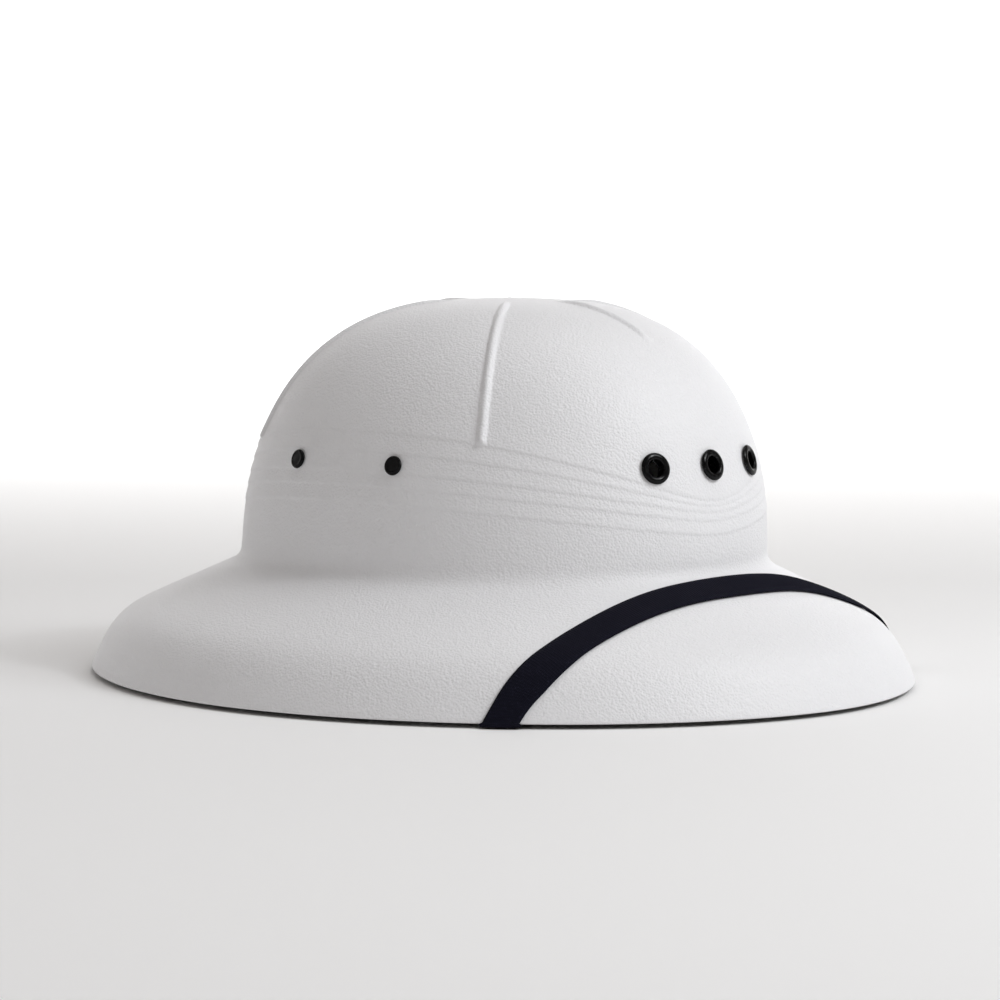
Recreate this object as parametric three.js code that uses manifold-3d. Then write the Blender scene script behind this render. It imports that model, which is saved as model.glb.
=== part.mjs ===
// Pith helmet: a moulded white shell with three eyelets, four side rivets and a black chin strap.
// Sizes are in millimetres. The front of the hat is -Y, the wearer's left is +X and up is +Z.
import * as THREE from 'three';
import { mergeVertices } from 'three/addons/utils/BufferGeometryUtils.js';
import Module from 'manifold-3d';

const wasm = await Module();
wasm.setup();

// Shell
const BRIM_LENGTH = 335;
const BRIM_WIDTH = 292;
const BRIM_SQUARENESS = 1.93;
const BRIM_TAPER = 0.018;
const CROWN_LENGTH = 206;
const CROWN_WIDTH = 176.7;
const CROWN_SQUARENESS = 2.18;
const CROWN_TAPER = 0.066;
const CROWN_FORWARD = 3.8;
const CROWN_HEIGHT = 98;
const CROWN_RISE_POWER = 2.28;
const CROWN_SPREAD_POWER = 2.85;
const APEX_FORWARD = 3.5;
const BRIM_DROP = 43;
const WALL = 2;
const RIM_EDGE = 2.2;
const SKIRT_RUN = 6.3;
const SKIRT_DROP = 18;
const CREASE_SOFTNESS = 3.7;
const FILLET_OUT = 4.5;
const FILLET_UP = 4.5;

// Ribs between the gores, and the pleats round the crown
const RIB_WIDTH = 3.4;
const RIB_HEIGHT = 1.3;
const RIB_END_RADIUS = 24;
const PLEAT_LIP = 0.5;
const PLEAT_STEP = 0.35;
const PLEAT_FADE = 8;

// Eyelets
const EYELET_SPREAD = 17.8;
const EYELET_HEIGHT = 40;
const EYELET_DIAMETER = 11.6;
const EYELET_BORE = 5.8;
const EYELET_BARREL = 7.2;
const EYELET_ROLL = 1.5;
const EYELET_BACK_DIAMETER = 10.4;
const EYELET_BACK_THICKNESS = 0.8;

// Rivets
const RIVET_TURNS = { front: 81, rear: 106 };
const RIVET_HEIGHT = 40.3;
const RIVET_CAP = 7;
const RIVET_DOME = 2;
const RIVET_SHANK = 3.4;
const RIVET_HEAD = 7.6;
const RIVET_HEAD_THICKNESS = 1;

// Chin strap
const STRAP_WIDTH = 13;
const STRAP_THICKNESS = 1.2;
const STRAP_RIM_TURN = 51.7;
const STRAP_CORNER_TURN = 55.5;
const STRAP_TAIL = 8;
const STRAP_FOOT_GAP = 2.2;
const STRAP_TURN_IN = 16;

// Play between pieces that touch
const GAP = 0.3;
const STRAP_GAP = 0.5;

// The pleat lines, lowest first. Heights above the crown's foot are shares of the crown's height, at
// the front and back centre and at the sides, and bend says how fast a line climbs between them.
const PLEAT_LINES = [
  { centre: 0.15, side: 0.268, bend: 0.85 },
  { centre: 0.202, side: 0.328, bend: 0.9 },
  { centre: 0.234, side: 0.381, bend: 0.95 },
  { centre: 0.257, side: 0.452, bend: 1 },
  { centre: 0.276, side: 0.525, bend: 1 },
];

// How softly the lines bend at the front and back centre, as a sine of the turn
const PLEAT_ROUND = 0.12;

// Where each rib starts, as a share of the crown's radius: 1 is the top pleat line
const RIB_STARTS = [
  { turn: 0, start: 0.68 },
  { turn: 61, start: 1 },
  { turn: 132, start: 1 },
  { turn: 180, start: 1 },
  { turn: 228, start: 1 },
  { turn: 299, start: 1 },
];

// The strap's route across the brim, seen from above: out is the share of the way from the front
// centre to the rim crossing, and forward the share of the way from there to the strap's front.
const STRAP_ROUTE = [
  { out: 0, forward: 1 },
  { out: 0.08, forward: 0.985 },
  { out: 0.16, forward: 0.935 },
  { out: 0.24, forward: 0.865 },
  { out: 0.32, forward: 0.79 },
  { out: 0.4, forward: 0.72 },
  { out: 0.5, forward: 0.645 },
  { out: 0.6, forward: 0.585 },
  { out: 0.7, forward: 0.53 },
  { out: 0.8, forward: 0.455 },
  { out: 0.89, forward: 0.3 },
  { out: 0.95, forward: 0.14 },
  { out: 1, forward: 0 },
];

// Facets
const TURN_STEP = 6;
const HOLE_SIDES = 16;
const EYELET_SIDES = 16;
const RIVET_SIDES = 12;

const RIM_HEIGHT = STRAP_GAP + STRAP_THICKNESS;
const FOOT_HEIGHT = RIM_HEIGHT + BRIM_DROP;
const UP = new THREE.Vector3(0, 0, 1);

const radians = THREE.MathUtils.degToRad;
const signedPower = (value, power) => Math.sign(value) * Math.abs(value) ** power;

// An oval seen from above, at a turn in degrees from the front towards the wearer's left. Taper is the
// share by which it narrows at the front and widens at the back.
function oval(turn, { length, width, squareness, taper, forward }) {
  const cosine = Math.cos(radians(turn));
  const across = signedPower(Math.sin(radians(turn)), 2 / squareness) * (1 - taper * cosine);
  const along = signedPower(cosine, 2 / squareness);
  return new THREE.Vector2(width / 2 * across, -forward - length / 2 * along);
}

const rimOval = {
  length: BRIM_LENGTH, width: BRIM_WIDTH, squareness: BRIM_SQUARENESS, taper: BRIM_TAPER, forward: 0,
};
const footOval = {
  length: CROWN_LENGTH,
  width: CROWN_WIDTH,
  squareness: CROWN_SQUARENESS,
  taper: CROWN_TAPER,
  forward: CROWN_FORWARD,
};
const rimAt = turn => oval(turn, rimOval);
const footAt = turn => oval(turn, footOval);

// How far the brim falls below the crown's foot: gently first, then steeply past a soft crease
function brimFall(distance, run) {
  const crease = run - SKIRT_RUN;
  const gentle = (BRIM_DROP - SKIRT_DROP) / crease;
  const steeper = SKIRT_DROP / SKIRT_RUN - gentle;
  const soft = x => steeper * CREASE_SOFTNESS * Math.log1p(Math.exp((x - crease) / CREASE_SOFTNESS));
  const fall = x => gentle * x + soft(x) - soft(0);
  return BRIM_DROP * fall(distance) / fall(run);
}

// A point of the smooth outer brim, at a distance out from the crown's foot
function brimPoint(turn, distance) {
  const foot = footAt(turn);
  const rim = rimAt(turn);
  const run = foot.distanceTo(rim);
  const plan = foot.clone().lerp(rim, distance / run);
  let height = FOOT_HEIGHT - brimFall(distance, run);
  if (distance < FILLET_OUT) {
    const near = Math.sqrt(Math.max(distance, 0) / FILLET_OUT);
    const start = brimFall(FILLET_OUT, run);
    height = FOOT_HEIGHT - near ** 2 * start + (1 - near) ** 2 * FILLET_UP;
  }
  return new THREE.Vector3(plan.x, plan.y, height);
}

const brimRun = turn => footAt(turn).distanceTo(rimAt(turn));

// A point of the smooth outer crown, at a height above its foot
function crownPoint(turn, height) {
  const rise = height / CROWN_HEIGHT;
  const spread = crownSpread(rise);
  const foot = footAt(turn);
  const plan = new THREE.Vector2(0, -CROWN_FORWARD).lerp(foot, spread);
  return new THREE.Vector3(plan.x, plan.y - APEX_FORWARD * rise, FOOT_HEIGHT + height);
}

const crownSpread = rise => Math.max(1 - rise ** CROWN_RISE_POWER, 0) ** (1 / CROWN_SPREAD_POWER);
const crownRise = spread => Math.max(1 - spread ** CROWN_SPREAD_POWER, 0) ** (1 / CROWN_RISE_POWER);

// A place on the shell is a turn and either a distance out on the brim or a height on the crown
function outerPoint(place) {
  if (place.out !== undefined) {
    return brimPoint(place.turn, place.out);
  }
  return crownPoint(place.turn, place.height);
}

// The outward normal of the smooth outer surface, from its slopes round and up the shell
function outerNormal(place) {
  const small = 0.02;
  const round = outerPoint({ ...place, turn: place.turn + small })
    .sub(outerPoint({ ...place, turn: place.turn - small }));
  const climb = place.out !== undefined
    ? outerPoint({ ...place, out: place.out - small }).sub(outerPoint({ ...place, out: place.out + small }))
    : outerPoint({ ...place, height: place.height + small })
      .sub(outerPoint({ ...place, height: place.height - small }));
  return round.cross(climb).normalize();
}

const innerPoint = place => outerPoint(place).addScaledVector(outerNormal(place), -WALL);

// The height of a pleat line above the crown's foot
function pleatHeight(line, turn) {
  const aside = Math.hypot(Math.sin(radians(turn)), PLEAT_ROUND) - PLEAT_ROUND;
  const climb = (1 - aside / (Math.hypot(1, PLEAT_ROUND) - PLEAT_ROUND)) ** line.bend;
  return CROWN_HEIGHT * (line.side - (line.side - line.centre) * climb);
}

const topLine = PLEAT_LINES[PLEAT_LINES.length - 1];
const eyeletTurns = { right: -EYELET_SPREAD, centre: 0, left: EYELET_SPREAD };

// The columns of the mesh, with four close together at each rib
const columns = [];
for (let turn = 0; turn < 360; turn += TURN_STEP) {
  const rib = RIB_STARTS.find(entry => Math.abs(entry.turn - turn) < TURN_STEP / 2);
  if (rib) {
    for (const side of [-1, -0.5, 0.5, 1]) {
      columns.push({ turn: rib.turn, side, rib });
    }
  } else {
    columns.push({ turn, side: 0, rib: null });
  }
}

// The turn of a column where the crown has shrunk to a share of its radius, so a rib keeps its width
function columnTurn(column, spread) {
  const radius = Math.max(footAt(column.turn).length() * spread, RIB_END_RADIUS);
  return column.turn + THREE.MathUtils.radToDeg(column.side * RIB_WIDTH / 2 / radius);
}

function ribHeight(column, spread, share) {
  if (!column.rib || Math.abs(column.side) > 0.5 || share > column.rib.start) {
    return 0;
  }
  const radius = footAt(column.turn).length() * spread;
  return RIB_HEIGHT * THREE.MathUtils.smoothstep(radius, RIB_END_RADIUS * 0.8, RIB_END_RADIUS * 1.4);
}

function raisedPoint(place, relief) {
  return outerPoint(place).addScaledVector(outerNormal(place), relief);
}

// The rings of the outer surface, from the rim up to just below the apex
function outerRings() {
  const rings = [];
  const brimRing = distanceAt => {
    rings.push(columns.map(column => {
      const turn = columnTurn(column, 1);
      return brimPoint(turn, distanceAt(brimRun(turn)));
    }));
  };
  for (const skirts of [0, 0.5, 1, 1.6, 2.4]) {
    brimRing(run => run - skirts * SKIRT_RUN);
  }
  brimRing(run => (run - 2.4 * SKIRT_RUN + FILLET_OUT) / 2);
  for (const share of [1, 0.5, 0.15, 0]) {
    brimRing(() => FILLET_OUT * share);
  }
  rings.push(columns.map(column => {
    const turn = columnTurn(column, 1);
    return crownPoint(turn, (FILLET_UP + pleatHeight(PLEAT_LINES[0], turn)) / 2);
  }));
  for (const line of PLEAT_LINES) {
    for (const above of [false, true]) {
      rings.push(columns.map(column => {
        const lineHeight = pleatHeight(line, columnTurn(column, 1));
        const height = lineHeight + (above ? PLEAT_STEP : 0);
        const spread = crownSpread(height / CROWN_HEIGHT);
        const place = { turn: columnTurn(column, spread), height };
        const rib = above && line === topLine ? ribHeight(column, spread, 1) : 0;
        return raisedPoint(place, above ? PLEAT_LIP + rib : 0);
      }));
    }
  }
  for (const share of [0.97, 0.91, 0.83, 0.73, 0.62, 0.5, 0.38, 0.26, 0.13]) {
    rings.push(columns.map(column => {
      const base = pleatHeight(topLine, column.turn);
      const spread = crownSpread(base / CROWN_HEIGHT) * share;
      const height = CROWN_HEIGHT * crownRise(spread);
      const fade = Math.max(1 - (height - base) / PLEAT_FADE, 0);
      const place = { turn: columnTurn(column, spread), height };
      return raisedPoint(place, PLEAT_LIP * fade + ribHeight(column, spread, share));
    }));
  }
  return rings;
}

// The rings of the smooth inner surface, from just below the apex down to the rim's flat edge
function innerRings() {
  const rings = [];
  for (const rise of [0.99, 0.95, 0.88, 0.78, 0.67, 0.56, 0.46, 0.38, 0.3, 0.2]) {
    rings.push(columns.map(column => {
      const turn = columnTurn(column, crownSpread(rise));
      return innerPoint({ turn, height: CROWN_HEIGHT * rise });
    }));
  }
  rings.push(columns.map(column => innerPoint({ turn: columnTurn(column, 1), height: FILLET_UP })));
  for (const share of [0.12, 0.45, 1]) {
    rings.push(columns.map(column => innerPoint({ turn: columnTurn(column, 1), out: share * FILLET_OUT })));
  }
  for (const skirts of [3, 1.8, 1, 0.5]) {
    rings.push(columns.map(column => {
      const turn = columnTurn(column, 1);
      return innerPoint({ turn, out: brimRun(turn) - skirts * SKIRT_RUN });
    }));
  }
  rings.push(columns.map(column => innerRimPoint(columnTurn(column, 1))));
  return rings;
}

// The inner corner of the rim's flat bottom edge
function innerRimPoint(turn) {
  const rim = rimAt(turn);
  const inward = rimOutward(turn).multiplyScalar(-RIM_EDGE);
  return new THREE.Vector3(rim.x + inward.x, rim.y + inward.y, RIM_HEIGHT);
}

function outerRimPoint(turn) {
  const rim = rimAt(turn);
  return new THREE.Vector3(rim.x, rim.y, RIM_HEIGHT);
}

// The level direction straight out of the rim
function rimOutward(turn) {
  const small = 0.02;
  const along = rimAt(turn + small).sub(rimAt(turn - small)).normalize();
  return new THREE.Vector3(along.y, -along.x, 0);
}

// A closed skin through rings of points, closed by a point or by a flat end at each end
function skin(rings, firstPole, lastPole) {
  const count = rings[0].length;
  const points = rings.flat();
  const triangles = [];
  for (let ring = 0; ring + 1 < rings.length; ring += 1) {
    for (let k = 0; k < count; k += 1) {
      const next = (k + 1) % count;
      const a = ring * count + k;
      const b = ring * count + next;
      triangles.push(a, b, b + count, a, b + count, a + count);
    }
  }
  const last = (rings.length - 1) * count;
  const first = points.push(firstPole) - 1;
  const end = points.push(lastPole) - 1;
  for (let k = 0; k < count; k += 1) {
    const next = (k + 1) % count;
    triangles.push(first, next, k, end, last + k, last + next);
  }
  const geometry = new THREE.BufferGeometry().setFromPoints(points);
  geometry.setIndex(triangles);
  return geometry;
}

// Solids for cutting
function toSolid(geometry) {
  const plain = geometry.clone();
  plain.deleteAttribute('normal');
  plain.deleteAttribute('uv');
  const merged = mergeVertices(plain, 1e-4);
  const vertProperties = new Float32Array(merged.attributes.position.array);
  const triVerts = new Uint32Array(merged.index.array);
  return new wasm.Manifold(new wasm.Mesh({ numProp: 3, vertProperties, triVerts }));
}

function fromSolid(solid) {
  const mesh = solid.getMesh();
  const geometry = new THREE.BufferGeometry();
  geometry.setAttribute('position', new THREE.BufferAttribute(new Float32Array(mesh.vertProperties), 3));
  geometry.setIndex(Array.from(mesh.triVerts));
  return geometry;
}

// A place for a fastener: its middle on the crown's outer surface, with the local Y axis outward
function fastenerPlace(turn, height) {
  const place = { turn, height };
  const holder = new THREE.Object3D();
  holder.position.copy(outerPoint(place));
  holder.quaternion.setFromUnitVectors(new THREE.Vector3(0, 1, 0), outerNormal(place));
  holder.updateMatrix();
  return holder;
}

const HOLE_REACH = 12;

function holeCutter(turn, height, diameter) {
  const cutter = new THREE.CylinderGeometry(diameter / 2, diameter / 2, HOLE_REACH, HOLE_SIDES);
  cutter.applyMatrix4(fastenerPlace(turn, height).matrix);
  return toSolid(cutter);
}

function drilled(geometry, cutters) {
  let solid = toSolid(geometry);
  for (const cutter of cutters) {
    solid = solid.subtract(cutter);
  }
  return fromSolid(solid);
}

const rivetTurns = Object.values(RIVET_TURNS).flatMap(turn => [turn, -turn]);

function shellGeometry() {
  const apex = crownPoint(0, CROWN_HEIGHT);
  const under = apex.clone().addScaledVector(UP, -WALL);
  const whole = skin([...innerRings(), ...outerRings()], under, apex);
  const eyeletHoles = Object.values(eyeletTurns)
    .map(turn => holeCutter(turn, EYELET_HEIGHT, EYELET_BARREL + 2 * GAP));
  const rivetHoles = rivetTurns.map(turn => holeCutter(turn, RIVET_HEIGHT, RIVET_SHANK + 2 * GAP));
  return drilled(whole, [...eyeletHoles, ...rivetHoles]);
}

const turned = (profile, sides) => new THREE.LatheGeometry(
  profile.map(([radius, height]) => new THREE.Vector2(radius, height)), sides);

// A flat face against the wall: clear of the folds outside, and inside clear of the hollow curve
const OUTER_SEAT = PLEAT_LIP + GAP;
const innerSeat = (grip, diameter) => -grip - GAP - diameter ** 2 / 4 / CROWN_WIDTH;

// A rolled eyelet: a round lip outside, a barrel through the wall and a flat flange behind it
function eyeletGeometry() {
  const bore = EYELET_BORE / 2;
  const lip = EYELET_DIAMETER / 2;
  const barrel = EYELET_BARREL / 2;
  const back = EYELET_BACK_DIAMETER / 2;
  const inside = innerSeat(WALL, EYELET_BACK_DIAMETER);
  const backFace = inside - EYELET_BACK_THICKNESS;
  return turned([
    [bore, backFace],
    [back, backFace],
    [back, inside],
    [barrel, inside],
    [barrel, OUTER_SEAT],
    [lip * 0.95, OUTER_SEAT],
    [lip, OUTER_SEAT + EYELET_ROLL * 0.35],
    [lip * 0.91, OUTER_SEAT + EYELET_ROLL * 0.8],
    [(lip + bore) / 2, OUTER_SEAT + EYELET_ROLL],
    [bore * 1.17, OUTER_SEAT + EYELET_ROLL * 0.75],
    [bore, OUTER_SEAT + EYELET_ROLL * 0.2],
    [bore, backFace],
  ], EYELET_SIDES);
}

// A rivet: a domed cap outside, a shank through what it holds, and a flat head inside
function rivetGeometry(grip) {
  const cap = RIVET_CAP / 2;
  const shank = RIVET_SHANK / 2;
  const head = RIVET_HEAD / 2;
  const inside = innerSeat(grip, RIVET_HEAD);
  return turned([
    [0, inside - RIVET_HEAD_THICKNESS],
    [head, inside - RIVET_HEAD_THICKNESS],
    [head, inside],
    [shank, inside],
    [shank, OUTER_SEAT],
    [cap, OUTER_SEAT],
    [cap, OUTER_SEAT + RIVET_DOME * 0.25],
    [cap * 0.8, OUTER_SEAT + RIVET_DOME * 0.7],
    [cap * 0.42, OUTER_SEAT + RIVET_DOME * 0.94],
    [0, OUTER_SEAT + RIVET_DOME],
  ], RIVET_SIDES);
}

// The place on the brim under a point seen from above
function brimPlaceUnder(x, y, nearTurn) {
  const target = new THREE.Vector2(x, y);
  const miss = turn => {
    const foot = footAt(turn);
    return rimAt(turn).sub(foot).cross(target.clone().sub(foot));
  };
  let low = nearTurn - 25;
  let high = nearTurn + 25;
  for (let step = 0; step < 50; step += 1) {
    const middle = (low + high) / 2;
    if (miss(middle) > 0) {
      low = middle;
    } else {
      high = middle;
    }
  }
  const foot = footAt(low);
  const outward = rimAt(low).sub(foot).normalize();
  return { turn: low, out: target.sub(foot).dot(outward) };
}

// A strap section is three points across it on the surface that it lies on, from its rear edge to its
// front edge, each with the direction away from the shell
const ACROSS = [-1, 0, 1];
const halfStrap = STRAP_WIDTH / 2;

// Up the inside of the crown, from the corner under its foot to the rivet and a short tail past it
function insideSections() {
  const sections = [];
  const cornerHeight = FILLET_UP;
  const bend = 1.6;
  const steps = 8;
  const route = share => ({
    turn: STRAP_CORNER_TURN + (RIVET_TURNS.front - STRAP_CORNER_TURN) * share ** bend,
    height: cornerHeight + (RIVET_HEIGHT - cornerHeight) * share,
  });
  const reach = innerPoint(route(1)).distanceTo(innerPoint(route(0.9))) * 10;
  const last = 1 + STRAP_TAIL / reach;
  for (let step = steps; step >= 0; step -= 1) {
    const share = last * step / steps;
    const place = route(share);
    const radius = footAt(place.turn).length();
    const turnSlope = bend * share ** (bend - 1) * radians(RIVET_TURNS.front - STRAP_CORNER_TURN) * radius;
    const slant = Math.atan2(turnSlope, RIVET_HEIGHT - cornerHeight);
    sections.push(ACROSS.map(side => {
      const shift = side * halfStrap;
      const point = {
        turn: place.turn - THREE.MathUtils.radToDeg(shift * Math.cos(slant) / radius),
        height: place.height + shift * Math.sin(slant),
      };
      return insideContact(point);
    }));
  }
  return sections;
}

const insideContact = place => ({ point: innerPoint(place), away: outerNormal(place).negate() });

// Round the corner under the crown's foot
function cornerSections() {
  return [0.12, 0.45].map(share => ACROSS.map(side => {
    const radius = footAt(STRAP_CORNER_TURN).length();
    const turn = STRAP_CORNER_TURN - THREE.MathUtils.radToDeg(side * halfStrap / radius);
    return insideContact({ turn, out: share * FILLET_OUT });
  }));
}

// Under the rim's flat edge and round both its corners, from the inside to the outside
function rimSections(corner) {
  const radius = rimAt(STRAP_RIM_TURN).length();
  const turnAt = side => STRAP_RIM_TURN - THREE.MathUtils.radToDeg(side * halfStrap / radius);
  const sections = [];
  const arrival = ACROSS.map((side, k) => {
    const turn = turnAt(side);
    const chord = innerRimPoint(turn).sub(corner[k].point).normalize();
    const along = UP.clone().cross(rimOutward(turn));
    return { point: innerRimPoint(turn), away: along.cross(chord).normalize() };
  });
  sections.push(arrival);
  sections.push(ACROSS.map(side => ({ point: innerRimPoint(turnAt(side)), away: UP.clone().negate() })));
  for (const share of [0, 0.33, 0.67, 1]) {
    sections.push(ACROSS.map(side => {
      const turn = turnAt(side);
      const skirt = outerNormal({ turn, out: brimRun(turn) - 0.1 });
      const full = Math.PI / 2 + Math.asin(skirt.z);
      const outward = rimOutward(turn);
      const away = outward.multiplyScalar(Math.sin(full * share))
        .addScaledVector(UP, -Math.cos(full * share));
      return { point: outerRimPoint(turn), away };
    }));
  }
  return sections;
}

// Over the brim's top, from the rim to the middle of the front
function topSections() {
  const rim = rimAt(STRAP_RIM_TURN);
  const front = footAt(0).y - STRAP_FOOT_GAP - halfStrap * Math.cos(Math.atan(brimSlope(0)));
  const plan = new THREE.CatmullRomCurve3(STRAP_ROUTE.map(({ out, forward }) => new THREE.Vector3(
    rim.x * out, rim.y + (front - rim.y) * forward, 0)), false, 'centripetal');
  const turnOf = point => THREE.MathUtils.radToDeg(Math.atan2(point.x, -point.y));
  const onBrim = (x, y) => {
    const place = brimPlaceUnder(x, y, turnOf({ x, y }));
    return { point: outerPoint(place), away: outerNormal(place) };
  };
  const rimForward = rimOutward(STRAP_RIM_TURN).cross(UP);
  const reach = plan.getLength();
  const steps = 24;
  const sections = [];
  for (let step = 1; step <= steps; step += 1) {
    const share = (1 - step / steps) ** 1.3;
    const here = plan.getPointAt(share);
    const middle = onBrim(here.x, here.y);
    const planAlong = plan.getTangentAt(share).negate();
    const along = planAlong.addScaledVector(middle.away, -planAlong.dot(middle.away)).normalize();
    // Its width runs along the rim where it crosses, and turns square to its run from there
    const square = THREE.MathUtils.smoothstep((1 - share) * reach, 0, STRAP_TURN_IN);
    const across = step === steps ? new THREE.Vector3(0, -1, 0)
      : rimForward.clone().lerp(middle.away.clone().cross(along), square);
    sections.push(ACROSS.map(side => {
      if (side === 0) {
        return middle;
      }
      const flat = middle.away.clone().multiplyScalar(-across.dot(middle.away)).add(across).normalize();
      const edge = middle.point.clone().addScaledVector(flat, side * halfStrap);
      return onBrim(edge.x, edge.y);
    }));
  }
  return sections;
}

const brimSlope = turn => brimFall(FILLET_OUT, brimRun(turn)) / FILLET_OUT;

function strapSections() {
  const inside = insideSections();
  const corner = cornerSections();
  const rim = rimSections(corner[corner.length - 1]);
  const half = [...inside, ...corner, ...rim, ...topSections()];
  const mirrored = half.slice(0, -1).reverse().map(section => section.map(({ point, away }) => ({
    point: new THREE.Vector3(-point.x, point.y, point.z),
    away: new THREE.Vector3(-away.x, away.y, away.z),
  })));
  return [...half, ...mirrored];
}

function strapGeometry() {
  const rings = strapSections().map(section => {
    const near = section.map(({ point, away }) => point.clone().addScaledVector(away, STRAP_GAP));
    const far = section.map(({ point, away }) => point.clone()
      .addScaledVector(away, STRAP_GAP + STRAP_THICKNESS));
    return [...near, ...far.reverse()];
  });
  const middleOf = ring => ring[1].clone().add(ring[4]).multiplyScalar(0.5);
  const strap = skin(rings, middleOf(rings[0]), middleOf(rings[rings.length - 1]));
  const holes = [RIVET_TURNS.front, -RIVET_TURNS.front]
    .map(turn => holeCutter(turn, RIVET_HEIGHT, RIVET_SHANK + 2 * GAP));
  return drilled(strap, holes);
}

// Materials
const shellPlastic = new THREE.MeshStandardMaterial({ color: 0xe9e9ec, roughness: 0.6, metalness: 0 });
const blackEnamel = new THREE.MeshStandardMaterial({ color: 0x0b0b0c, roughness: 0.15, metalness: 0.2 });
const webbing = new THREE.MeshStandardMaterial({ color: 0x0e0e16, roughness: 0.9, metalness: 0 });

const helmet = new THREE.Group();

function addPiece(name, geometry, material) {
  const piece = new THREE.Mesh(geometry, material);
  piece.name = name;
  helmet.add(piece);
  return piece;
}

function addFastener(name, geometry, turn, height) {
  const piece = addPiece(name, geometry, blackEnamel);
  const place = fastenerPlace(turn, height);
  piece.position.copy(place.position);
  piece.quaternion.copy(place.quaternion);
}

addPiece('helmet_shell', shellGeometry(), shellPlastic);
for (const [side, turn] of Object.entries(eyeletTurns)) {
  addFastener(`front_eyelet_${side}`, eyeletGeometry(), turn, EYELET_HEIGHT);
}
for (const [end, turn] of Object.entries(RIVET_TURNS)) {
  const grip = end === 'front' ? WALL + STRAP_GAP + STRAP_THICKNESS : WALL;
  addFastener(`side_rivet_${end}_left`, rivetGeometry(grip), turn, RIVET_HEIGHT);
  addFastener(`side_rivet_${end}_right`, rivetGeometry(grip), -turn, RIVET_HEIGHT);
}
addPiece('chin_strap', strapGeometry(), webbing);

export default helmet;
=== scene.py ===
import math

import bpy
import numpy as np
from mathutils import Matrix, Vector


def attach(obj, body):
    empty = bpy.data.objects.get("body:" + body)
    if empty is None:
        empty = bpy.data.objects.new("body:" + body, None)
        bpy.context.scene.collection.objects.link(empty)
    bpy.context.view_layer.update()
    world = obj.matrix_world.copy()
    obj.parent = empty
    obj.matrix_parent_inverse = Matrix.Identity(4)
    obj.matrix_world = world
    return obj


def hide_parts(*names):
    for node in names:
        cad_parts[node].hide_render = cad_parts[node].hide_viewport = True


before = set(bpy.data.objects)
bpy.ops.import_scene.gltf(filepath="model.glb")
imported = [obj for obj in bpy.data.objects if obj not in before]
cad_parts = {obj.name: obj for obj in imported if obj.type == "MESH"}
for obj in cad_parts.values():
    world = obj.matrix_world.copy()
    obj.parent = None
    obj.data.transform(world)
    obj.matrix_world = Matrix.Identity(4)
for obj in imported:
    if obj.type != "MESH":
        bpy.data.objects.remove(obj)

bl_info = {
    "name": "Pith Helmet",
    "version": (1, 0, 0),
    "blender": (4, 5, 0),
    "location": "View3D > Sidebar > Pith Helmet",
    "description": "A white moulded sun helmet with eyelets, rivets and a webbing chin strap",
    "category": "Add Mesh",
}

# The hat stands on the level z = 0 in metres, with its front at -Y and the wearer's left at +X.
# A turn is in degrees from the front towards the wearer's left.
MM = 0.001

# The small turn and distance over which a surface's slopes are measured
NUDGE_TURN = 0.02
NUDGE = 0.02 * MM

# The pleat lines, lowest first, as shares of the crown's height at the front and back centre and at
# the sides, with how fast a line climbs between them
PLEAT_LINES = (
    (0.15, 0.268, 0.85),
    (0.202, 0.328, 0.9),
    (0.234, 0.381, 0.95),
    (0.257, 0.452, 1.0),
    (0.276, 0.525, 1.0),
)

# How softly the pleat lines bend at the front and back centre, as a sine of the turn
PLEAT_ROUND = 0.12

# The mould's pleats are shallower beside the rivets: the share they lose, where, and over what spread
PLEAT_LOSS = 0.6
PLEAT_LOSS_TURN = 90
PLEAT_LOSS_SPREAD = 13

# Each rib's turn, and where it starts as a share of the crown's radius: 1 is the top pleat line
RIBS = ((0, 0.68), (61, 1), (132, 1), (180, 1), (228, 1), (299, 1))

# Where the mesh's columns stand beside a rib's middle, and the half width that they keep at every
# radius
RIB_COLUMNS = np.array([0, 0.4, 0.75, 1.05, 1.35, 1.65, 1.95, 2.5]) * MM
RIB_BAND = 3.4 * MM

# The strap's route over the brim: the share of the way out from the front centre to the rim
# crossing, and the share of the way forward from there to the strap's front
STRAP_ROUTE = (
    (0, 1), (0.08, 0.985), (0.16, 0.935), (0.24, 0.865), (0.32, 0.79), (0.4, 0.72), (0.5, 0.645),
    (0.6, 0.585), (0.7, 0.53), (0.8, 0.455), (0.89, 0.3), (0.95, 0.14), (1, 0),
)

# A turned fastener's half section as shares of its radius and its height over the shell
EYELET_ROLL_SECTION = (
    (0.86, -0.06), (0.94, 0.02), (0.985, 0.16), (1.0, 0.34), (0.985, 0.54), (0.94, 0.73),
    (0.875, 0.88), (0.8, 0.97), (0.73, 1.0), (0.66, 0.95), (0.605, 0.84), (0.565, 0.68),
    (0.545, 0.5), (0.54, 0.3),
)
RIVET_CAP_SECTION = (
    (0.86, -0.06), (0.95, 0.06), (1.0, 0.3), (0.99, 0.55), (0.94, 0.8), (0.86, 0.95), (0.78, 1.0),
    (0.71, 0.99), (0.65, 0.95), (0.57, 0.93), (0.4, 0.96), (0.2, 0.99),
)

# How far above the shell the sections start, how far the curved wall stands off the flange or head
# inside, and the radii of the bores and of a rivet's shank
EYELET_SEAT = 0.3 * MM
RIVET_SEAT = 0.25 * MM
EYELET_FLANGE_GAP = 0.45 * MM
RIVET_HEAD_GAP = 0.35 * MM
EYELET_BORE = 3.9 * MM
RIVET_BORE = 2.0 * MM
RIVET_SHANK = 1.7 * MM

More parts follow.
